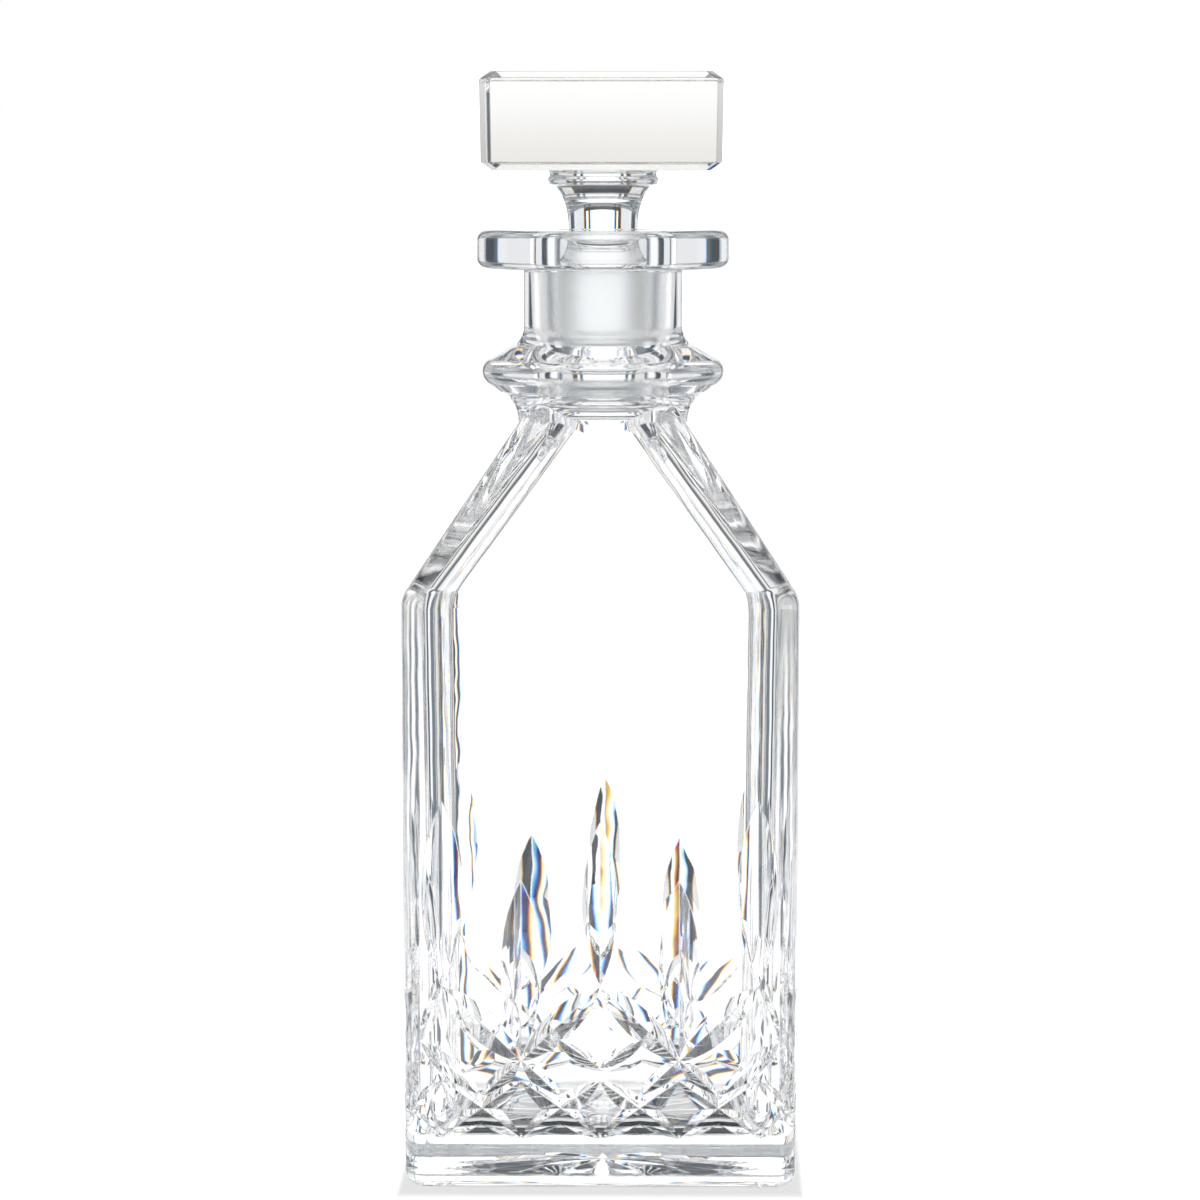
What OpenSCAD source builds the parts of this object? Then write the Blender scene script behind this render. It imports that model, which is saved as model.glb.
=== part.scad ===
// Square cut-crystal decanter with a ground-in stopper.
// Origin: middle of the flat base, +Z up, millimetres.

/* [Body] */
// Width across the flat sides at the shoulder line
body_w = 92.6; // [90:0.1:95]
// Width across the flat sides at the base
base_w = 91.2; // [89:0.1:94]
// Radius of the four upright corners
corner_r = 4.8; // [4:0.1:6]
// Radius of the bottom edge
foot_r = 4; // [2:0.5:5]
// Height of the shoulder line
shoulder_z = 138; // [130:1:142]
// Radius of the bend at the shoulder line
shoulder_bend_r = 6; // [3:0.5:10]
// Half width at the top of the sloping shoulder, hidden in the collar ring
shoulder_top_x = 16; // [14:0.5:18]
// Height of the top of the sloping shoulder
shoulder_top_z = 183; // [181:0.5:184]

/* [Hollow] */
// Thickness of the glass under the hollow
floor_z = 11.5; // [9:0.5:14]
// Width of the hollow at the floor
hollow_base_w = 79.6; // [76:0.2:82]
// Width of the hollow at its shoulder line
hollow_w = 83.4; // [80:0.2:84]
// Radius of the upright corners of the hollow
hollow_corner_r = 7; // [5:0.5:10]
// Radius round the floor of the hollow
hollow_foot_r = 6; // [4:0.5:9]
// Height of the shoulder line of the hollow
hollow_shoulder_z = 137; // [130:1:138]
// Half width at the top of the sloping part of the hollow
hollow_top_x = 12; // [11:0.5:13]
// Height of the top of the sloping part of the hollow
hollow_top_z = 175.5; // [174:0.5:177]
// Radius of the throat between the hollow and the neck
throat_r = 14.4; // [13.6:0.2:15]

/* [Neck] */
// Radius of the foot of the neck
neck_foot_r = 20.3; // [19:0.1:21]
// Radius of the round neck
neck_r = 18.9; // [18:0.1:20]
// Radius of the collar ring round the neck
collar_r = 28.8; // [27:0.2:30]
// Height of the widest part of the collar ring
collar_z = 189; // [187:0.2:190]
// Height at which the collar's curve runs out into the neck
neck_z = 199.6; // [199:0.2:202]
// Radius of the lip disc
lip_r = 30; // [27:0.5:32]
// Height of the underside of the lip disc
lip_z = 213.4; // [212:0.2:214]
// Height of the top of the lip disc
lip_top_z = 222.7; // [221:0.1:224]
// Radius of the lip disc's edges
lip_edge_r = 2; // [1:0.1:3]

/* [Stopper] */
// Width of the square head at its top
head_w = 57; // [50:0.5:60]
// Narrowing of the head towards its underside
head_taper = 0.7; // [0:0.1:2]
// Height of the square head
head_h = 23.2; // [20:0.2:26]
// Height of the top of the stopper
stopper_top_z = 260; // [258:1:264]
// Width of the bevels round the top and bottom of the head
head_bevel = 2.6; // [1:0.1:4]
// Height of those bevels
head_bevel_h = 1.9; // [1:0.1:3]
// Size of the bevels on the head's upright corners
head_corner = 3.4; // [1:0.1:5]
// Radius of the flared rim under the head
flare_r = 13.2; // [11:0.1:14]
// Height of the flared rim
flare_z = 233.8; // [233:0.1:235]
// Radius of the stem at its waist
stem_r = 8.2; // [6:0.1:9]
// Height of the stem's waist
stem_z = 222.8; // [222:0.1:225]

/* [Ground joint] */
// Radius of the ground plug at its top
plug_top_r = 11.2; // [10.9:0.05:11.6]
// Radius of the ground plug at its bottom
plug_bottom_r = 10.6; // [10:0.05:10.8]
// Height of the top of the ground plug
plug_top_z = 214.8; // [213:0.2:216]
// Height of the bottom of the plug
plug_z = 190.5; // [190:0.5:192]
// Bevel round the bottom of the plug
plug_bevel = 1.2; // [0.5:0.1:2]
// Radial clearance between the plug and the bore
joint_clearance = 0.05; // [0.02:0.01:0.1]

/* [Cutting] */
// Distance between neighbouring columns of cuts
cut_pitch = 18.4; // [17.6:0.1:18.8]
// Height of the upper row of crossings
upper_row_z = 47.5; // [46:0.5:49]
// Height of the middle row of crossings
middle_row_z = 30.5; // [29:0.5:32]
// Height at which the lowest cuts run out
lower_row_z = 12; // [11:0.5:13]
// Distance from the middle of a side to the end of the cut pattern
cut_edge_x = 42; // [41:0.1:42.4]
// Full angle of the cutting wheel's V edge
wheel_angle = 116; // [110:1:125]
// Reach of the star under the base
star_r = 38; // [34:0.5:40]
// Depth of the star at its middle
star_depth = 2.4; // [1.5:0.1:3]
// Number of wheel cuts that cross in the star
star_cuts = 8; // [6:1:12]

/* [Hidden] */
$fn = 96;
draft = atan((body_w - base_w) / 2 / shoulder_z);
head_z = stopper_top_z - head_h;
wheel_slope = tan(wheel_angle / 2);

// Points of an elliptical arc about [x, z] with reaches rx and rz, from angle a to angle b
function arc(x, z, rx, rz, a, b, steps = 8) =
    [for (i = [0:steps]) let (t = a + (b - a) * i / steps) [x + rx * cos(t), z + rz * sin(t)]];

// Half outline of a square bottle: floor, rounded foot, side, bend and sloping shoulder
function bottle_half(z0, w0, foot, w1, z1, bend, top_x, top_z) =
    let (lean = atan((w1 / 2 - top_x) / (top_z - z1)), run = bend * tan(lean / 2))
    concat([[0, z0]],
        arc(w0 / 2 - foot, z0 + foot, foot, foot, -90, 0),
        arc(w1 / 2 - bend, z1 - run, bend, bend, 0, lean, 5),
        [[top_x, top_z], [0, top_z]]);

// Half outline of the same bottle from corner to corner, pulled in by cut
function bottle_diagonal(z0, w0, w1, z1, top_x, top_z, cut) =
    [[0, z0], [w0 / sqrt(2) - cut, z0], [w1 / sqrt(2) - cut, z1], [top_x * sqrt(2) - cut, top_z], [0, top_z]];

// Outline seen from the front: a half outline and its mirror image
module both_halves(half) {
    polygon(half);
    mirror([1, 0]) polygon(half);
}

// Solid with one outline from the front and the side, and another from corner to corner
module four_sided(half, diagonal) {
    reach = 300;
    intersection_for (turn = [0, 90, 45, 135]) {
        rotate([90, 0, turn]) linear_extrude(height = reach, center = true) {
            both_halves(turn % 90 == 0 ? half : diagonal);
        }
    }
}

// Upright square prism with round corners
module round_prism(w, r, height) {
    linear_extrude(height = height) {
        square([w, w - 2 * r], center = true);
        square([w - 2 * r, w], center = true);
        for (sx = [-1, 1], sy = [-1, 1]) {
            translate([sx * (w / 2 - r), sy * (w / 2 - r)]) circle(r = r);
        }
    }
}

// Square bottle shape with round upright corners
module bottle_shape(z0, w0, foot, w1, z1, top_x, top_z, r) {
    intersection() {
        four_sided(
            bottle_half(z0, w0, foot, w1, z1, shoulder_bend_r, top_x, top_z),
            bottle_diagonal(z0, w0, w1, z1, top_x, top_z, r * (sqrt(2) - 1)));
        round_prism(w1, r, top_z + 1);
    }
}

// Outer shape of the neck, with the collar ring and the lip disc
module neck_shape() {
    foot_z = shoulder_top_z - 5.5;
    rotate_extrude() polygon(concat(
        [[0, foot_z - 12], [neck_foot_r, foot_z - 12]],
        arc(neck_foot_r + 7, foot_z, 7, 7.2, 180, 108),
        arc(collar_r - 3.8, collar_z, 3.8, 3.8, -60, 50),
        arc(neck_r + 5.6, neck_z, 5.6, 5.2, 248, 180),
        [[neck_r, lip_z]],
        arc(lip_r - lip_edge_r, lip_z + lip_edge_r, lip_edge_r, lip_edge_r, -90, 0, 4),
        arc(lip_r - lip_edge_r, lip_top_z - lip_edge_r, lip_edge_r, lip_edge_r, 0, 90, 4),
        [[0, lip_top_z]]));
}

// Throat, ground bore and rounded mouth of the neck
module neck_bore() {
    bottom_r = plug_bottom_r + joint_clearance;
    top_r = plug_top_r + joint_clearance;
    mouth_r = 1.2;
    rotate_extrude() polygon(concat(
        [[0, hollow_top_z - 10], [throat_r, hollow_top_z - 10], [throat_r, hollow_top_z + 3],
         [bottom_r, plug_z - 1], [bottom_r, plug_z], [top_r, plug_top_z], [top_r, lip_top_z - mouth_r]],
        arc(top_r + mouth_r, lip_top_z - mouth_r, mouth_r, mouth_r, 180, 90, 4),
        [[top_r + mouth_r, lip_top_z + 1], [0, lip_top_z + 1]]));
}

// Leaf-shaped V cut into the plane y = 0 from one tip to the other, with its depth following a wheel's arc
module leaf(tip_a, tip_b, width) {
    length = norm(tip_b - tip_a);
    depth = width / 2 / wheel_slope;
    clear = 0.6;
    stations = [for (t = [-1:0.5:1]) [t * length / 2, depth * (1 - t * t)]];
    last = len(stations) - 1;
    points = [for (s = stations) for (p = [
        [s[0], s[1], 0], [s[0], -clear, (s[1] + clear) * wheel_slope], [s[0], -clear, -(s[1] + clear) * wheel_slope]
    ]) p];
    sides = [for (i = [0:last - 1]) for (k = [0:2]) [3 * i + k, 3 * i + 3 + k, 3 * i + 3 + (k + 1) % 3, 3 * i + (k + 1) % 3]];
    translate([(tip_a[0] + tip_b[0]) / 2, 0, (tip_a[1] + tip_b[1]) / 2]) {
        rotate([0, -atan2(tip_b[1] - tip_a[1], tip_b[0] - tip_a[0]), 0]) {
            polyhedron(points, concat(sides, [[0, 1, 2], [3 * last + 2, 3 * last + 1, 3 * last]]));
        }
    }
}

// One half of the pattern cut into a side, in that side's own plane
module half_pattern() {
    column_1 = cut_pitch;
    column_2 = 2 * cut_pitch;
    between_z = middle_row_z - 9;
    apex_z = lower_row_z + 13.5;
    // upright leaves that stand on the crossings
    leaf([column_1, middle_row_z + 0.5], [column_1, middle_row_z + 42], 9.4);
    leaf([column_2, upper_row_z], [column_2, upper_row_z + 43.5], 9.4);
    // slanting leaves from the upper to the middle row
    leaf([0, upper_row_z + 0.2], [column_1, middle_row_z - 0.5], 7);
    leaf([column_2, upper_row_z], [column_1, middle_row_z - 0.5], 7);
    leaf([column_1 / 2 + 1.5, middle_row_z + 5.5], [0, middle_row_z - 2], 3.6);
    // short leaves under the middle row
    leaf([column_1, middle_row_z], [column_1 / 2, between_z], 4);
    leaf([column_1, middle_row_z], [column_1 * 1.5, between_z], 4);
    // zigzag net of the lowest row
    leaf([0, apex_z], [column_1, lower_row_z], 5);
    leaf([column_1, apex_z], [0, lower_row_z], 5);
    leaf([column_1, apex_z], [column_2, lower_row_z], 5);
    leaf([column_2, apex_z], [column_1, lower_row_z], 5);
    // leaves that close the pattern towards the corner
    leaf([column_2, upper_row_z + 0.5], [cut_edge_x, middle_row_z + 4], 3.4);
    leaf([cut_edge_x, middle_row_z + 4.4], [column_1 * 1.5, between_z], 4.4);
    leaf([column_2, apex_z], [cut_edge_x + 2, lower_row_z + 7], 3);
    leaf([column_2, lower_row_z], [cut_edge_x + 2, lower_row_z + 6.5], 3);
}

// Everything cut into one side
module side_pattern() {
    translate([0, -base_w / 2, 0]) rotate([draft, 0, 0]) {
        leaf([0, upper_row_z + 0.2], [0, upper_row_z + 38.5], 8);
        half_pattern();
        mirror([1, 0, 0]) half_pattern();
    }
}

// Star of crossing leaves under the base
module star() {
    for (i = [0:star_cuts - 1]) {
        rotate([90, 0, 180 * i / star_cuts]) leaf([-star_r, 0], [star_r, 0], 2 * star_depth * wheel_slope);
    }
}

module decanter_body() {
    color("aliceblue", 0.5) difference() {
        union() {
            bottle_shape(0, base_w, foot_r, body_w, shoulder_z, shoulder_top_x, shoulder_top_z, corner_r);
            neck_shape();
        }
        bottle_shape(floor_z, hollow_base_w, hollow_foot_r, hollow_w, hollow_shoulder_z,
            hollow_top_x, hollow_top_z, hollow_corner_r);
        neck_bore();
        for (turn = [0:90:270]) rotate([0, 0, turn]) side_pattern();
        star();
    }
}

// Square head with bevelled edges
module stopper_head() {
    top_x = head_w / 2;
    low_x = top_x - head_taper / 2;
    cut = head_corner * (sqrt(2) - 1);
    four_sided(
        [[0, head_z - 0.6], [flare_r, head_z - 0.6], [low_x - head_bevel, head_z], [low_x, head_z + head_bevel_h],
         [top_x, stopper_top_z - head_bevel_h], [top_x - head_bevel, stopper_top_z], [0, stopper_top_z]],
        [[0, head_z - 0.7], [flare_r * 2, head_z - 0.7], [(low_x - head_bevel) * sqrt(2) - cut + 0.6, head_z],
         [low_x * sqrt(2) - cut, head_z + head_bevel_h + 0.2], [top_x * sqrt(2) - cut, stopper_top_z - head_bevel_h - 0.2],
         [(top_x - head_bevel) * sqrt(2) - cut + 0.6, stopper_top_z], [0, stopper_top_z]]);
}

// Flared rim, waisted stem and ground plug, all round
module stopper_stem() {
    rotate_extrude() polygon(concat(
        [[0, plug_z], [plug_bottom_r - plug_bevel, plug_z], [plug_bottom_r, plug_z + plug_bevel],
         [plug_top_r, plug_top_z]],
        arc(plug_top_r, stem_z, plug_top_r - stem_r, stem_z - plug_top_z - 0.6, 265, 180),
        arc(flare_r - 0.2, stem_z, flare_r - 0.2 - stem_r, flare_z - stem_z - 0.4, 175, 92),
        [[flare_r, flare_z], [flare_r, head_z - 0.8], [flare_r - 0.8, head_z + 1], [0, head_z + 1]]));
}

module stopper() {
    color("lavender") {
        stopper_head();
        stopper_stem();
    }
}

decanter_body();
stopper();
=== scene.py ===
# %% [markdown]
# A square decanter of clear cut crystal, with its stopper.
#
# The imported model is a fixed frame: it gives the size and place of the two pieces of glass. This script
# models both pieces again as a glass cutter would think of them. A blown blank is made first, then its
# hollow, and then every cut is made with the V-edged wheel that leaves such a leaf, so each facet is a
# real surface that bends light.

from math import atan2, cos, degrees, hypot, pi, radians, sin, tan

import bmesh
import bpy
from mathutils import Matrix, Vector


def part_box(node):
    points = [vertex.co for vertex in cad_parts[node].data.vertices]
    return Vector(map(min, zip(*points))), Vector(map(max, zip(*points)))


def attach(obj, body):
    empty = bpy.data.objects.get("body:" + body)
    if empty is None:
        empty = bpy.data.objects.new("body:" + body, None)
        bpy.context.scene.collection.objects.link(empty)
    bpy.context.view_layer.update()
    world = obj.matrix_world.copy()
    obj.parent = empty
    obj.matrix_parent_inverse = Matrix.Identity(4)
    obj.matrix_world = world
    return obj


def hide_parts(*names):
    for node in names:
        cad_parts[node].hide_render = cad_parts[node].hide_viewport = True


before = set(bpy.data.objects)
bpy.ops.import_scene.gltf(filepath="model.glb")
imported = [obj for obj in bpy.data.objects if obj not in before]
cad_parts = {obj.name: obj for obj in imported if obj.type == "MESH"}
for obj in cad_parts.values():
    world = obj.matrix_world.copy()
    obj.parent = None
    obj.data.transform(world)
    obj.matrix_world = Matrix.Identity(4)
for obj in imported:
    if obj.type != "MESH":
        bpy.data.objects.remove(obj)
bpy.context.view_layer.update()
body_low, body_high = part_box("decanter_body")
stopper_low, stopper_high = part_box("stopper")
MM = 0.001
SIDE = body_high[0] - body_low[0]
LIP_TOP = body_high[2]
TOP = stopper_high[2]
print("side", round(SIDE, 4), "lip top", round(LIP_TOP, 4), "top", round(TOP, 4))

# %% [markdown]
# Blender's operators act on whatever is selected, and the loaded frame is selected. These small helpers
# leave exactly one object selected, open it for editing, and apply what a modifier does.


# %% Helpers for picking and editing
def deselect_all():
    if bpy.context.mode != "OBJECT":
        bpy.ops.object.mode_set(mode="OBJECT")
    bpy.ops.object.select_all(action="DESELECT")


def pick(piece):
    deselect_all()
    piece.select_set(True)
    bpy.context.view_layer.objects.active = piece


def edit(piece, mode="EDGE"):
    pick(piece)
    bpy.ops.object.mode_set(mode="EDIT")
    bpy.ops.mesh.select_mode(type=mode)
    bpy.ops.mesh.select_all(action="DESELECT")


def select_edges(piece, wanted):
    """Selects the edges whose two ends satisfy wanted(a, b), and says how many there are."""
    shape = bmesh.from_edit_mesh(piece.data)
    chosen = [e for e in shape.edges if wanted(e.verts[0].co, e.verts[1].co)]
    for e in chosen:
        e.select_set(True)
    bmesh.update_edit_mesh(piece.data)
    return len(chosen)


def apply_modifier(piece, kind, **settings):
    pick(piece)
    modifier = piece.modifiers.new(kind.lower(), kind)
    for key, value in settings.items():
        setattr(modifier, key, value)
    bpy.ops.object.modifier_apply(modifier=modifier.name)


def boolean(piece, other, operation):
    apply_modifier(piece, "BOOLEAN", object=other, operation=operation, solver="MANIFOLD")


def discard(piece):
    deselect_all()
    bpy.data.objects.remove(piece, do_unlink=True)


print("helpers ready")

# %% [markdown]
# Both the round and the square shapes are built the same way: a flat outline is extruded from level to
# level, and each new level is scaled to its own width. A circle gives turned shapes such as the neck, a
# square gives the bottle.


# %% Shapes that rise level by level
ROUND_STEPS = 192


def rise(name, levels):
    """Extrudes the active flat outline through levels of (radius, height)."""
    piece = bpy.context.object
    piece.name = name
    bpy.ops.object.transform_apply(location=True, rotation=True, scale=True)
    bpy.ops.object.mode_set(mode="EDIT")
    bpy.ops.mesh.select_all(action="SELECT")
    for (r0, z0), (r1, z1) in zip(levels, levels[1:]):
        bpy.ops.mesh.extrude_region_move(TRANSFORM_OT_translate={"value": (0, 0, z1 - z0)})
        bpy.ops.transform.resize(value=(r1 / r0, r1 / r0, 1), center_override=(0, 0, z1))
    bpy.ops.mesh.select_all(action="SELECT")
    bpy.ops.mesh.normals_make_consistent(inside=False)
    bpy.ops.object.mode_set(mode="OBJECT")
    return piece


def turned(name, levels, steps=ROUND_STEPS):
    deselect_all()
    r, z = levels[0]
    bpy.ops.mesh.primitive_circle_add(vertices=steps, radius=r, fill_type="NGON", location=(0, 0, z))
    return rise(name, levels)


def squared(name, levels):
    deselect_all()
    r, z = levels[0]
    bpy.ops.mesh.primitive_plane_add(size=2 * r, location=(0, 0, z))
    return rise(name, levels)


def arc(x, z, rx, rz, start, end, steps=10):
    """Points of an elliptical arc about (x, z), from one angle in degrees to another."""
    turns = [radians(start + (end - start) * i / steps) for i in range(steps + 1)]
    return [(x + rx * cos(t), z + rz * sin(t)) for t in turns]


print("arc test", arc(0, 0, 1, 1, 0, 90, 2))

# %% [markdown]
# The blank is a square bottle blown into a mould: slightly wider at the shoulder than at the base, with
# round upright corners, a soft bend at the shoulder line and four sloping shoulders. The upright edges
# and the shoulder's hips are bevelled together, and the bend and the foot afterwards, so that every
# corner is rounded the way a mould rounds it.


# %% A square bottle with rounded edges
def square_bottle(name, z0, w0, foot, z1, w1, bend, top_z, top_w, corner):
    piece = squared(name, [(w0 / 2, z0), (w1 / 2, z1), (top_w / 2, top_z)])
    edit(piece)
    count = select_edges(piece, lambda a, b: abs(a.z - b.z) > 5 * MM)
    bpy.ops.mesh.bevel(offset=corner, segments=14, affect="EDGES", clamp_overlap=False)
    bpy.ops.mesh.select_all(action="DESELECT")
    lean = atan2((w1 - top_w) / 2, top_z - z1)
    near = 3 * MM
    level = 0.6 * MM
    select_edges(piece, lambda a, b: max(abs(a.z - z1), abs(b.z - z1)) < near and abs(a.z - b.z) < level)
    bpy.ops.mesh.bevel(offset=bend * tan(lean / 2), segments=8, affect="EDGES", clamp_overlap=False)
    bpy.ops.mesh.select_all(action="DESELECT")
    select_edges(piece, lambda a, b: max(abs(a.z - z0), abs(b.z - z0)) < 0.01 * MM)
    bpy.ops.mesh.bevel(offset=foot, segments=10, affect="EDGES", clamp_overlap=False)
    bpy.ops.object.mode_set(mode="OBJECT")
    print(name, "upright edges", count, "faces", len(piece.data.polygons))
    return piece


BASE_W = SIDE - 1.4 * MM
SHOULDER_Z = 138 * MM
SHOULDER_BEND = 6 * MM
CORNER_R = 4.8 * MM
SHOULDER_TOP_W, SHOULDER_TOP_Z = 32 * MM, 183 * MM
FOOT_R = 4 * MM
bottle = square_bottle(
    "bottle", 0, BASE_W, FOOT_R, SHOULDER_Z, SIDE, SHOULDER_BEND, SHOULDER_TOP_Z, SHOULDER_TOP_W, CORNER_R
)
FLOOR_Z, FLOOR_W = 11.5 * MM, 79.6 * MM
HOLLOW_SHOULDER_Z, HOLLOW_SHOULDER_W = 137 * MM, 83.4 * MM
HOLLOW_TOP_Z, HOLLOW_TOP_W = 175.5 * MM, 24 * MM
hollow = square_bottle(
    "hollow",
    FLOOR_Z,
    FLOOR_W,
    6 * MM,
    HOLLOW_SHOULDER_Z,
    HOLLOW_SHOULDER_W,
    SHOULDER_BEND,
    HOLLOW_TOP_Z,
    HOLLOW_TOP_W,
    7 * MM,
)

# %% [markdown]
# The neck is worked hot on the turning rod, so it is round: a waist above the shoulder, a collar ring,
# the neck itself and the thick disc of the lip. It is turned from one outline and joined to the blank.

# %% The neck, its collar and its lip
NECK_R = 18.9 * MM
NECK_FOOT_R = 20.3 * MM
NECK_FOOT_Z = SHOULDER_TOP_Z - 5.5 * MM
COLLAR_R, COLLAR_Z = 28.8 * MM, 189 * MM
NECK_Z = 199.6 * MM
LIP_R, LIP_Z, LIP_EDGE = 30 * MM, 213.4 * MM, 2.4 * MM
neck_levels = (
    [(NECK_FOOT_R, NECK_FOOT_Z - 12 * MM)]
    + arc(NECK_FOOT_R + 7 * MM, NECK_FOOT_Z, 7 * MM, 7.2 * MM, 180, 108, 16)
    + arc(COLLAR_R - 3.8 * MM, COLLAR_Z, 3.8 * MM, 3.8 * MM, -60, 50, 18)
    + arc(NECK_R + 5.6 * MM, NECK_Z, 5.6 * MM, 5.2 * MM, 248, 180, 16)
    + arc(NECK_R + 0.8 * MM, LIP_Z - 0.8 * MM, 0.8 * MM, 0.8 * MM, 180, 90, 4)
    + arc(LIP_R - LIP_EDGE, LIP_Z + LIP_EDGE, LIP_EDGE, LIP_EDGE, -90, 0, 8)
    + arc(LIP_R - LIP_EDGE, LIP_TOP - LIP_EDGE, LIP_EDGE, LIP_EDGE, 0, 90, 8)
)
neck = turned("neck", neck_levels)
boolean(bottle, neck, "UNION")
discard(neck)

# %% [markdown]
# The bore is ground with a taper to fit the plug, opens into a wider throat below, and is rounded at the
# mouth. The same five sizes serve the bore and the plug, with a little air between them.

# %% The hollow and the ground bore
PLUG_TOP_R, PLUG_FOOT_R = 11.2 * MM, 10.6 * MM
PLUG_TOP_Z = 214.8 * MM
PLUG_Z = stopper_low[2]
CLEARANCE = 0.05 * MM
MOUTH_R = 1.2 * MM
bore_top = PLUG_TOP_R + CLEARANCE
bore_foot = PLUG_FOOT_R + CLEARANCE
bore_levels = (
    [(14.4 * MM, 165 * MM)]
    + arc(0.4 * MM, 178 * MM, 14 * MM, 12 * MM, 0, 42, 10)
    + [(bore_foot, PLUG_Z - 1 * MM), (bore_foot, PLUG_Z)]
    + [(bore_top, PLUG_TOP_Z), (bore_top, LIP_TOP - MOUTH_R)]
    + arc(bore_top + MOUTH_R, LIP_TOP - MOUTH_R, MOUTH_R, MOUTH_R, 180, 90, 6)
    + [(bore_top + MOUTH_R, LIP_TOP + 1 * MM)]
)
bore = turned("bore", bore_levels)
boolean(hollow, bore, "UNION")
discard(bore)
boolean(bottle, hollow, "DIFFERENCE")
discard(hollow)
print("bottle with its hollow:", len(bottle.data.polygons), "faces")

# %% [markdown]
# A cutter presses the glass on a wheel with a V edge, and where the round wheel meets the flat side it
# leaves a leaf: deepest in the middle, running out to a point at both ends. So each cut here is that
# wheel itself, taken away from the glass. Its radius follows from the length and width of the leaf.
# Polishing hollows the two slopes a little, so they start gently in the valley and end steeply at the
# rim, and light runs along them in thin streaks.

# %% The V-edged wheel
VALLEY_TILT, RIM_TILT = radians(27), radians(38)
WHEEL_STEPS = 400
WHEEL_RINGS = 5


def half_width(u):
    """Half width of the V, in depths, at u depths from the wheel's edge."""
    start, end = 1 / tan(VALLEY_TILT), 1 / tan(RIM_TILT)
    return start * u - (start - end) / 2 * u * u if u < 1 else (start + end) / 2 + end * (u - 1)


WHEEL_SLOPE = half_width(1)


def wheel(length, width):
    """A V-edged wheel, and how far its middle stands out to leave a leaf of this length and width."""
    depth = width / 2 / WHEEL_SLOPE
    radius = (length * length / 4 + depth * depth) / (2 * depth)
    reach = [i / WHEEL_RINGS for i in range(1, WHEEL_RINGS + 1)] + [1 + 1 * MM / depth]
    upper = [(radius - u * depth, half_width(u) * depth) for u in reach]
    lower = [(r, -z) for r, z in reversed(upper)]
    return turned("wheel", lower + [(radius, 0)] + upper, WHEEL_STEPS), radius - depth


def leaf_places(tip_a, tip_b, centre_out):
    """Where the wheel stands for one leaf in the plane of a side, as a matrix in that side's own frame."""
    (xa, za), (xb, zb) = tip_a, tip_b
    place = Matrix.Translation(((xa + xb) / 2 * MM, -centre_out, (za + zb) / 2 * MM))
    return place @ Matrix.Rotation(-atan2(zb - za, xb - xa), 4, "Y")


def cut(piece, tool, place):
    tool.matrix_world = place
    bpy.context.view_layer.update()
    boolean(piece, tool, "DIFFERENCE")


print("wheel slope", round(WHEEL_SLOPE, 3))

# %% [markdown]
# Every side carries the same pattern, laid out on five columns and three rows. Upright leaves rise from
# the upper and the middle row in turn, slanting leaves zigzag between those two rows, short leaves point
# down from the middle row, and the lowest row is a net of crossed cuts. The list is one half of a side:
# its mirror image is the other half, and all four sides are alike.

# %% The pattern of leaves
PITCH = 18.4
UPPER, MIDDLE, LOWER = 47.5, 30.5, 12.0
EDGE = 42.0
MIDDLE_LEAF = ((0, UPPER + 0.2), (0, UPPER + 38.5), 8.0)
HALF_PATTERN = [
    ((PITCH, MIDDLE + 0.5), (PITCH, MIDDLE + 42), 9.4),
    ((2 * PITCH, UPPER), (2 * PITCH, UPPER + 43.5), 9.4),
    ((0, UPPER + 0.2), (PITCH, MIDDLE - 0.5), 7.0),
    ((2 * PITCH, UPPER), (PITCH, MIDDLE - 0.5), 7.0),
    ((PITCH / 2 + 1.5, MIDDLE + 5.5), (0, MIDDLE - 2), 3.6),
    ((PITCH, MIDDLE), (PITCH / 2, MIDDLE - 9), 4.0),
    ((PITCH, MIDDLE), (PITCH * 1.5, MIDDLE - 9), 4.0),
    ((2 * PITCH, UPPER + 0.5), (EDGE, MIDDLE + 4), 3.4),
    ((EDGE, MIDDLE + 4.4), (PITCH * 1.5, MIDDLE - 9), 4.4),
    ((0, LOWER + 13.5), (PITCH, LOWER), 5.6),
    ((PITCH, LOWER + 13.5), (0, LOWER), 5.6),
    ((PITCH, LOWER + 13.5), (2 * PITCH, LOWER), 5.6),
    ((2 * PITCH, LOWER + 13.5), (PITCH, LOWER), 5.6),
    ((2 * PITCH, LOWER + 13.5), (EDGE + 2, LOWER + 7), 3.0),
    ((2 * PITCH, LOWER), (EDGE + 2, LOWER + 6.5), 3.0),
]


def mirrored(leaf):
    (xa, za), (xb, zb), width = leaf
    return (-xa, za), (-xb, zb), width


DRAFT = atan2((SIDE - BASE_W) / 2, SHOULDER_Z)
front = Matrix.Translation((0, -BASE_W / 2, 0)) @ Matrix.Rotation(DRAFT, 4, "X")
side_frames = [Matrix.Rotation(pi / 2 * i, 4, "Z") @ front for i in range(4)]
for leaf in [MIDDLE_LEAF] + HALF_PATTERN:
    (xa, za), (xb, zb), width = leaf
    tool, centre_out = wheel(hypot(xb - xa, zb - za) * MM, width * MM)
    for a, b, _ in [leaf] if leaf is MIDDLE_LEAF else [leaf, mirrored(leaf)]:
        for side in side_frames:
            cut(bottle, tool, side @ leaf_places(a, b, centre_out))
    discard(tool)
print("bottle with its sides cut:", len(bottle.data.polygons), "faces")

# %% [markdown]
# The star under the base is made with a larger wheel: long leaves that all cross in the middle, so that
# sixteen points reach out towards the rim. What is left flat round them is what the decanter stands on.

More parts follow.
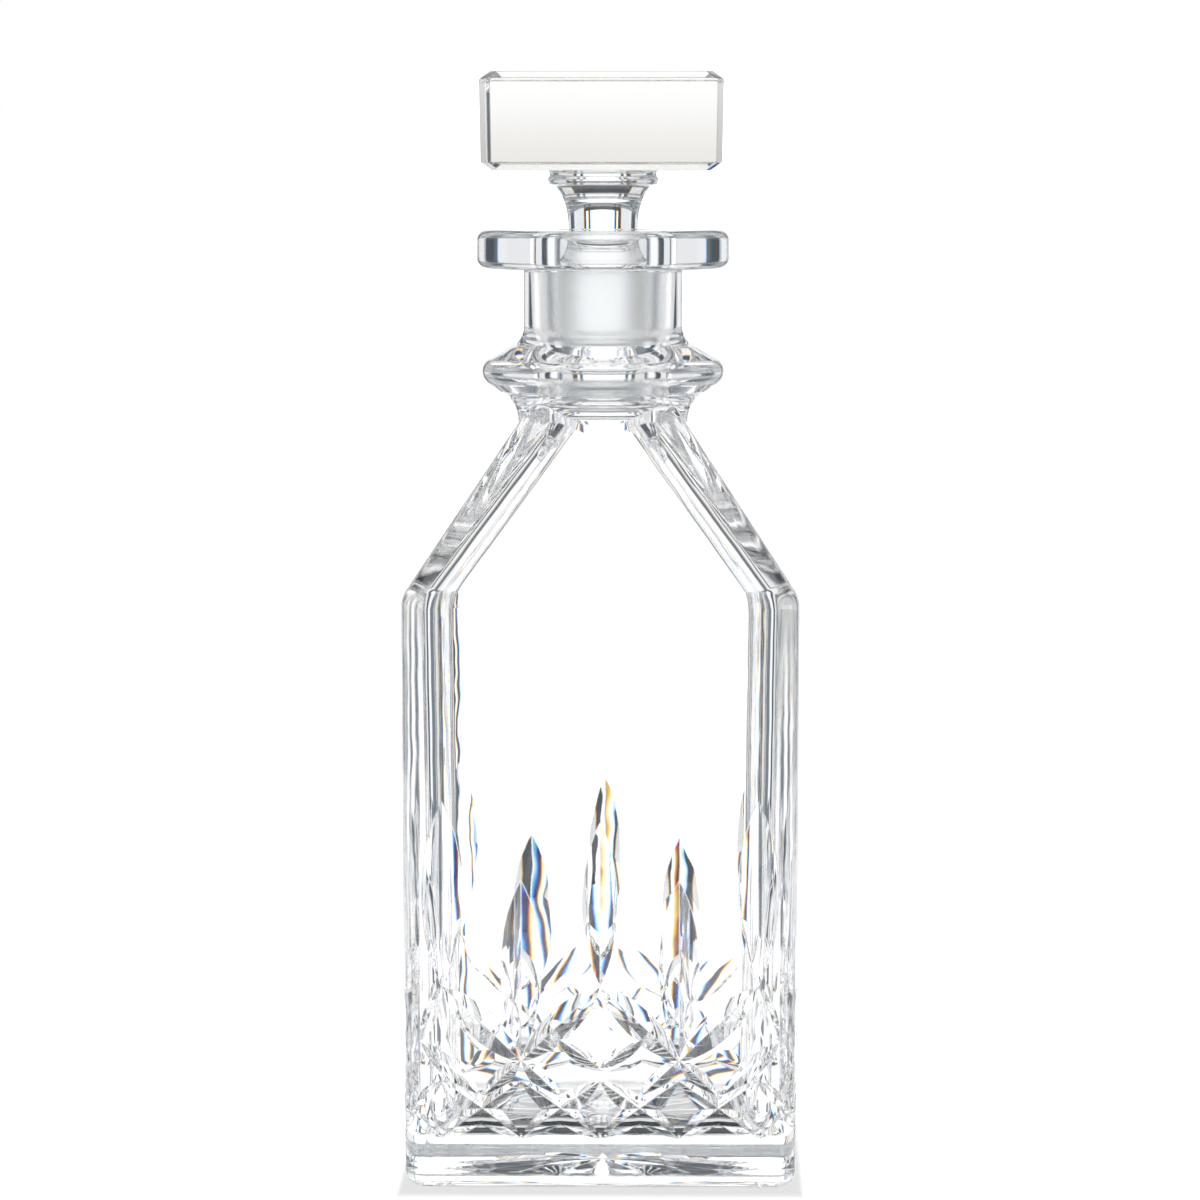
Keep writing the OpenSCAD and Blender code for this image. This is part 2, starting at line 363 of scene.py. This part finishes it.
# %% The star under the base
STAR_R, STAR_DEPTH, STAR_CUTS = 38 * MM, 2.4 * MM, 8
tool, centre_out = wheel(2 * STAR_R, 2 * STAR_DEPTH * WHEEL_SLOPE)
for i in range(STAR_CUTS):
    turn = Matrix.Rotation(pi * i / STAR_CUTS, 4, "Z") @ Matrix.Rotation(pi / 2, 4, "X")
    cut(bottle, tool, turn @ Matrix.Translation((0, -centre_out, 0)))
discard(tool)
print("bottle with its star:", len(bottle.data.polygons), "faces")

# %% [markdown]
# The stopper is one piece of glass too: a square head with bevelled edges, a flared rim, a waisted stem
# and the ground plug. The head rises level by level from a square, the stem is turned, and the two are
# joined.

# %% The stopper
HEAD_W = stopper_high[0] - stopper_low[0]
HEAD_Z = TOP - 23.2 * MM
HEAD_LOW = HEAD_W / 2 - 0.35 * MM
BEVEL_W, BEVEL_H = 2.6 * MM, 1.9 * MM
FLARE_R, FLARE_Z = 13.2 * MM, 233.8 * MM
STEM_R, STEM_Z = 8.2 * MM, 222.8 * MM
stopper = squared(
    "stopper_glass",
    [
        (FLARE_R, HEAD_Z - 0.6 * MM),
        (HEAD_LOW - BEVEL_W, HEAD_Z),
        (HEAD_LOW, HEAD_Z + BEVEL_H),
        (HEAD_W / 2, TOP - BEVEL_H),
        (HEAD_W / 2 - BEVEL_W, TOP),
    ],
)
edit(stopper)


def on_head_corner(a, b):
    """True for an edge that rises along one of the head's four upright corners."""
    rising = abs(a.z - b.z) > 0.1 * MM and min(a.z, b.z) > HEAD_Z - 0.1 * MM
    return rising and abs(abs(a.x) - abs(a.y)) < 0.01 * MM


select_edges(stopper, on_head_corner)
bpy.ops.mesh.bevel(offset=1.2 * MM, segments=1, affect="EDGES", clamp_overlap=False)
bpy.ops.object.mode_set(mode="OBJECT")
apply_modifier(stopper, "BEVEL", width=0.3 * MM, segments=3, limit_method="ANGLE", angle_limit=radians(12))
plug_bevel = 1.2 * MM
stem_levels = (
    [(PLUG_FOOT_R - plug_bevel, PLUG_Z), (PLUG_FOOT_R, PLUG_Z + plug_bevel), (PLUG_TOP_R, PLUG_TOP_Z)]
    + arc(PLUG_TOP_R, STEM_Z, PLUG_TOP_R - STEM_R, STEM_Z - PLUG_TOP_Z - 0.6 * MM, 265, 180, 14)
    + arc(FLARE_R - 0.2 * MM, STEM_Z, FLARE_R - 0.2 * MM - STEM_R, FLARE_Z - STEM_Z - 0.4 * MM, 175, 92, 16)
    + arc(FLARE_R - 0.7 * MM, FLARE_Z + 0.7 * MM, 0.7 * MM, 0.7 * MM, -60, 60, 8)
    + [(FLARE_R - 0.9 * MM, HEAD_Z + 1 * MM)]
)
stem = turned("stem", stem_levels)
boolean(stopper, stem, "UNION")
discard(stem)
print("stopper:", len(stopper.data.polygons), "faces")

# %% [markdown]
# Curved surfaces are shaded smooth and real edges stay sharp. A flat side next to a rounded corner would
# pick up the corner's bend in its shading, and glass shows that at once, so the normals are weighted by
# the faces' areas.


# %% Smooth curves and flat flats
def finish_shading(piece):
    pick(piece)
    bpy.ops.object.shade_smooth_by_angle(angle=radians(16), keep_sharp_edges=False)
    apply_modifier(piece, "WEIGHTED_NORMAL", mode="FACE_AREA", weight=100, keep_sharp=True)


for piece in (bottle, stopper):
    finish_shading(piece)
    print(piece.name, "vertices", len(piece.data.vertices))

# %% [markdown]
# Shader sums are written as plain expressions. The class wraps a socket, so that adding or multiplying
# two of them adds the Math node that does it.


# %% Writing shaders as expressions
class Value:
    """A node's output, with the arithmetic that shaders need."""

    def __init__(self, tree, socket):
        self.tree = tree
        self.socket = socket

    def math(self, operation, *others, clamp=False):
        node = self.tree.nodes.new("ShaderNodeMath")
        node.operation = operation
        node.use_clamp = clamp
        for place, value in zip(node.inputs, (self, *others)):
            if isinstance(value, Value):
                self.tree.links.new(value.socket, place)
            else:
                place.default_value = value
        return Value(self.tree, node.outputs[0])

    def __add__(self, other):
        return self.math("ADD", other)

    def __sub__(self, other):
        return self.math("SUBTRACT", other)

    def __rsub__(self, other):
        return self.math("MULTIPLY", -1.0) + other

    def __mul__(self, other):
        return self.math("MULTIPLY", other)

    def __abs__(self):
        return self.math("ABSOLUTE")

    def clamped(self):
        return self.math("ADD", 0.0, clamp=True)

    __radd__ = __add__
    __rmul__ = __mul__


class Finish:
    """A material or world under construction."""

    def __init__(self, tree):
        self.tree = tree
        self.tree.nodes.clear()

    def add(self, kind, settings=None, inputs=None, output=0):
        node = self.tree.nodes.new(kind)
        for key, value in (settings or {}).items():
            setattr(node, key, value)
        for key, value in (inputs or {}).items():
            if isinstance(value, Value):
                self.tree.links.new(value.socket, node.inputs[key])
            else:
                node.inputs[key].default_value = value
        return Value(self.tree, node.outputs[output]) if node.outputs else node

    def split(self, vector):
        """The three numbers of a vector."""
        node = self.tree.nodes.new("ShaderNodeSeparateXYZ")
        self.tree.links.new(vector.socket, node.inputs[0])
        return [Value(self.tree, output) for output in node.outputs]


def new_material(name):
    material = bpy.data.materials.new(name)
    material.use_nodes = True
    return material, Finish(material.node_tree)


print("shader helpers ready")

# %% [markdown]
# Lead crystal is clear and bends light more than window glass does, with an index of about 1.545. It
# isn't quite even: hand polishing leaves the outside very slightly wavy.


# %% Crystal
CRYSTAL_IOR = 1.545
# How deep the painted shade in the stopper's head is at its bottom; it is half as deep at the top.
HEAD_PAINTED_SHADE = 0.30


def crystal(name, wave_size, wave_height, edge_radius, painted_shade=None):
    """Clear glass. The last argument, if given, is (z of full shade, z of half shade, how dark): a shade
    painted into the base colour.
    """
    material, finish = new_material(name)
    place = finish.add("ShaderNodeTexCoord", output="Object")
    scale = 1 / wave_size
    waves = finish.add("ShaderNodeTexNoise", inputs={"Vector": place, "Scale": scale, "Detail": 1.5})
    edges = finish.add("ShaderNodeBevel", settings={"samples": 4}, inputs={"Radius": edge_radius})
    relief = {"Height": waves, "Strength": 1.0, "Distance": wave_height, "Normal": edges}
    bump = finish.add("ShaderNodeBump", inputs=relief)
    tint = (1.0, 1.0, 1.0, 1.0)
    # Given the last argument, a shade is painted into the base colour: grey all over, a little warm, and
    # deepest at the bottom.
    if painted_shade:
        low, high, depth = painted_shade
        fade = finish.add(
            "ShaderNodeMapRange",
            settings={"interpolation_type": "SMOOTHSTEP"},
            inputs={
                "Value": finish.split(place)[2],
                "From Min": low,
                "From Max": high,
                "To Min": depth,
                "To Max": depth / 2,
            },
        )
        red, green, blue = (1.0 - fade * k for k in (0.96, 1.0, 1.1))
        tint = finish.add("ShaderNodeCombineXYZ", inputs={"X": red, "Y": green, "Z": blue})
    glass = finish.add(
        "ShaderNodeBsdfPrincipled",
        inputs={
            "Base Color": tint,
            "Roughness": 0.0,
            "IOR": CRYSTAL_IOR,
            "Transmission Weight": 1.0,
            "Normal": bump,
        },
    )
    finish.add("ShaderNodeOutputMaterial", inputs={"Surface": glass})
    return material


# The arguments are the waves' size, their height, and how round the edges are.
polished = crystal("polished_crystal", 20 * MM, 0.08 * MM, 0.4 * MM)
blown = crystal("blown_crystal", 18 * MM, 0.35 * MM, 0.35 * MM)
# The stopper's head also gets a painted shade, deepest at the bottom of the head.
block = crystal("block_crystal", 30 * MM, 0.08 * MM, 0.5 * MM, (HEAD_Z + 1 * MM, TOP - 3 * MM, HEAD_PAINTED_SHADE))
for piece in (bottle, stopper):
    piece.data.materials.clear()
    piece.data.materials.append(polished)


def give_material(piece, material, wanted):
    """The faces whose middle satisfies wanted take this material."""
    piece.data.materials.append(material)
    index = len(piece.data.materials) - 1
    chosen = [p for p in piece.data.polygons if wanted(p.center)]
    for p in chosen:
        p.material_index = index
    print(piece.name, material.name, len(chosen), "faces")


def in_hollow(c):
    """Inside the blown hollow: nearer the axis than the middle of the wall, and above its floor."""
    wall = SIDE / 2 - 3 * MM
    lean = max(0.0, c.z - SHOULDER_Z) * (SIDE - SHOULDER_TOP_W) / 2 / (SHOULDER_TOP_Z - SHOULDER_Z)
    return FLOOR_Z - 0.5 * MM < c.z < 176 * MM and max(abs(c.x), abs(c.y)) < wall - lean


give_material(bottle, blown, in_hollow)
give_material(stopper, block, lambda c: c.z > HEAD_Z - 0.5 * MM)

# %% [markdown]
# The plug and the bore are ground together with emery, which leaves them satin. Their faces get their own
# material.


# %% Ground glass
GRAIN_SIZE = 0.35 * MM


def ground_glass():
    material, finish = new_material("ground_crystal")
    place = finish.add("ShaderNodeTexCoord", output="Object")
    scale = 1 / GRAIN_SIZE
    grain = finish.add("ShaderNodeTexNoise", inputs={"Vector": place, "Scale": scale, "Detail": 3.0})
    bump = finish.add("ShaderNodeBump", inputs={"Height": grain, "Strength": 0.5, "Distance": 0.03 * MM})
    glass = finish.add(
        "ShaderNodeBsdfPrincipled",
        inputs={
            "Base Color": (0.96, 0.97, 0.97, 1.0),
            "Roughness": 0.24 + 0.10 * grain,
            "IOR": CRYSTAL_IOR,
            "Transmission Weight": 1.0,
            "Normal": bump,
        },
    )
    finish.add("ShaderNodeOutputMaterial", inputs={"Surface": glass})
    return material


ground = ground_glass()
give_material(stopper, ground, lambda c: PLUG_Z + 1.3 * MM < c.z < PLUG_TOP_Z - 0.3 * MM)



def in_bore(c):
    """On the ground wall of the bore, as far as the plug reaches."""
    return hypot(c.x, c.y) < bore_top + 0.01 * MM and PLUG_Z + 0.1 * MM < c.z < PLUG_TOP_Z


give_material(bottle, ground, in_bore)

# %% [markdown]
# The two pieces of glass ride on the two bodies of the frame and stand for its two nodes.

# %% Bodies and nodes
for piece, body, node, slot in (
    (bottle, "body", "decanter_body", "crystal"),
    (stopper, "stopper", "stopper", "stopper_crystal"),
):
    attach(piece, body)
    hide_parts(node)

# %% [markdown]
# Clear glass has no colour of its own: it only shows what stands around it, bent by its surfaces. So the
# studio is white where the glass lets the view straight through, and two narrow dark gaps stand a little
# to each side, where the slopes of the cuts bend the view. They draw a dark line along the valley and
# along the rim of every leaf. The borders of the gaps lie at slightly different bearings for red, green
# and blue, as crystal would split the light.

# %% Bright and dark bearings
INNER_GAP = (0.250, 0.292)
OUTER_GAP = (0.350, 0.415)
SPLIT = (0.006, 0.0, -0.008)


def band(value, start, end, soft):
    """One between start and end, with borders this soft, and zero outside."""
    rise = (value - (start - soft / 2)) * (1 / soft)
    fall = ((end + soft / 2) - value) * (1 / soft)
    return rise.math("MINIMUM", fall).clamped()


def gaps(bearing):
    """The dark gaps to either side, as one number for each colour."""
    shifted = [bearing + k for k in SPLIT]
    return [band(b, *INNER_GAP, 0.02).math("MAXIMUM", band(b, *OUTER_GAP, 0.02)) for b in shifted]


print("gaps in degrees", [round(degrees(k), 1) for k in INNER_GAP + OUTER_GAP])

# %% [markdown]
# A white table runs back to a white wall. What the camera sees past the glass is plain white, and the
# gaps only show through the glass. Close round the foot the table's glow is painted dimmer, a painted
# shadow where the decanter would keep the light off it, and a dark card under the foot is a painted
# shadow beneath it.

# %% The white sweep
SWEEP_HALF, SWEEP_X = 0.221, 0.008
SWEEP_BACK, SWEEP_FRONT, SWEEP_TOP = 0.62, 0.45, 0.42
# Where the painted shadow round the foot fades out at the sides and in front, and how dark it is at the
# foot.
SHADE_SIDE, SHADE_FRONT, SHADE_DEPTH = 2 * MM, 14 * MM, 0.62


def card(name, size_x, size_y, location, tilt=0.0, colour=(0.1, 0.1, 0.1, 1.0), strength=0.0, shaded=False):
    """A card that may shine, level or upright, with the dark gaps in its light."""
    deselect_all()
    bpy.ops.mesh.primitive_plane_add(size=1, location=location, rotation=(tilt, 0, 0))
    piece = bpy.context.object
    piece.name = name
    piece.scale = (size_x, size_y, 1)
    bpy.ops.object.transform_apply(location=False, rotation=False, scale=True)
    material, finish = new_material(name)
    x, y, _ = finish.split(finish.add("ShaderNodeTexCoord", output="Object"))
    aside = abs(x + location[0])
    back = y * (0.0 if tilt else 1.0) + location[1]
    direct = finish.add("ShaderNodeLightPath", output="Is Camera Ray")
    shades = [(1.0 - gap).math("MAXIMUM", direct) for gap in gaps(aside.math("ARCTAN2", back))]
    # On the table, a shadow is painted into the glow: dimmer close round the decanter's foot.
    if shaded:
        past_side = (aside - SIDE / 2) * (1 / SHADE_SIDE)
        past_front = (abs(back) - SIDE / 2) * (1 / SHADE_FRONT)
        fall = {"Value": past_side.math("MAXIMUM", past_front), "To Min": SHADE_DEPTH}
        open_table = finish.add("ShaderNodeMapRange", {"interpolation_type": "SMOOTHSTEP"}, fall)
        shades = [shade * open_table for shade in shades]
    glow = finish.add("ShaderNodeCombineXYZ", inputs=dict(zip("XYZ", shades)))
    surface = finish.add(
        "ShaderNodeBsdfPrincipled",
        inputs={
            "Base Color": colour,
            "Roughness": 1.0,
            "Specular IOR Level": 0.0,
            "Emission Color": glow,
            "Emission Strength": strength,
        },
    )
    finish.add("ShaderNodeOutputMaterial", inputs={"Surface": surface})
    piece.data.materials.append(material)
    return piece


table_middle = (SWEEP_X, (SWEEP_BACK - SWEEP_FRONT) / 2, -0.6 * MM)
card("white_table", 2 * SWEEP_HALF, SWEEP_BACK + SWEEP_FRONT, table_middle, strength=1.16, shaded=True)
wall_middle = (SWEEP_X, SWEEP_BACK, SWEEP_TOP / 2 - 5 * MM)
card("white_wall", 2 * SWEEP_HALF, SWEEP_TOP, wall_middle, tilt=pi / 2, strength=1.22)
# A dark card under the foot, hidden by it, is a painted shadow: through the glass the table beneath reads
# as shaded, not glowing.
card("painted_shadow_card", 80 * MM, 80 * MM, (0, 0, -0.3 * MM), colour=(0.04, 0.05, 0.06, 1.0))

# %% The room's light
scene = bpy.context.scene
world = bpy.data.worlds.new("studio")
world.use_nodes = True
scene.world = world
room = Finish(world.node_tree)
east, north, up = room.split(room.add("ShaderNodeTexCoord", output="Generated"))
bearing = abs(east.math("ARCTAN2", north))
height = up.math("ARCSINE")
near_height = band(height, -0.5, 0.70, 0.15)
far_window = 0.9 * band(bearing, 1.10, 1.45, 0.10) * band(height, -0.25, 0.70, 0.15)
overhead = 1.2 * band(height, 0.96, 2.0, 0.15)
grey = 0.08 + 0.14 * band(bearing, 1.3, 4.0, 0.5)
direct = room.add("ShaderNodeLightPath", output="Is Camera Ray")
channels = []
for split, tint in zip(SPLIT, (0.86, 1.0, 1.14)):
    near_window = 0.8 * band(bearing + split, OUTER_GAP[1], 0.80, 0.02) * near_height
    light = near_window.math("MAXIMUM", far_window) + overhead + grey * tint
    channels.append(light.math("MAXIMUM", direct))
colour = room.add("ShaderNodeCombineXYZ", inputs=dict(zip("XYZ", channels)))
light = room.add("ShaderNodeBackground", inputs={"Color": colour, "Strength": 1.0})
room.add("ShaderNodeOutputWorld", inputs={"Surface": light})
print("room lit")

# %% [markdown]
# A long lens from well back keeps the uprights nearly parallel. The camera stands a little above the
# shoulder and looks slightly down.

# %% The camera
CAMERA_BACK = 1.4463
CAMERA_X, CAMERA_Z = 0.022, 0.245
CAMERA_DOWN = radians(4.377)
camera_data = bpy.data.cameras.new("camera")
camera = bpy.data.objects.new("camera", camera_data)
scene.collection.objects.link(camera)
camera.location = (CAMERA_X, -CAMERA_BACK, CAMERA_Z)
camera.rotation_euler = (pi / 2 - CAMERA_DOWN, 0, atan2(CAMERA_X, CAMERA_BACK - SIDE / 2))
camera_data.lens = 182.18
camera_data.sensor_width = 36
camera_data.clip_start = 0.05
camera_data.clip_end = 100
scene.camera = camera

# %% [markdown]
# Light passes a dozen surfaces on its way through two walls and the stopper, so the path is allowed to be
# long. White stays white on the screen with the standard view.

# %% Light paths and view
scene.cycles.max_bounces = 32
scene.cycles.transmission_bounces = 32
scene.cycles.glossy_bounces = 24
scene.cycles.transparent_max_bounces = 16
scene.cycles.sample_clamp_indirect = 4.0
scene.cycles.caustics_refractive = True
scene.cycles.caustics_reflective = True
scene.cycles.blur_glossy = 0.0
scene.view_settings.view_transform = "Standard"
scene.view_settings.look = "None"
print("set for glass")
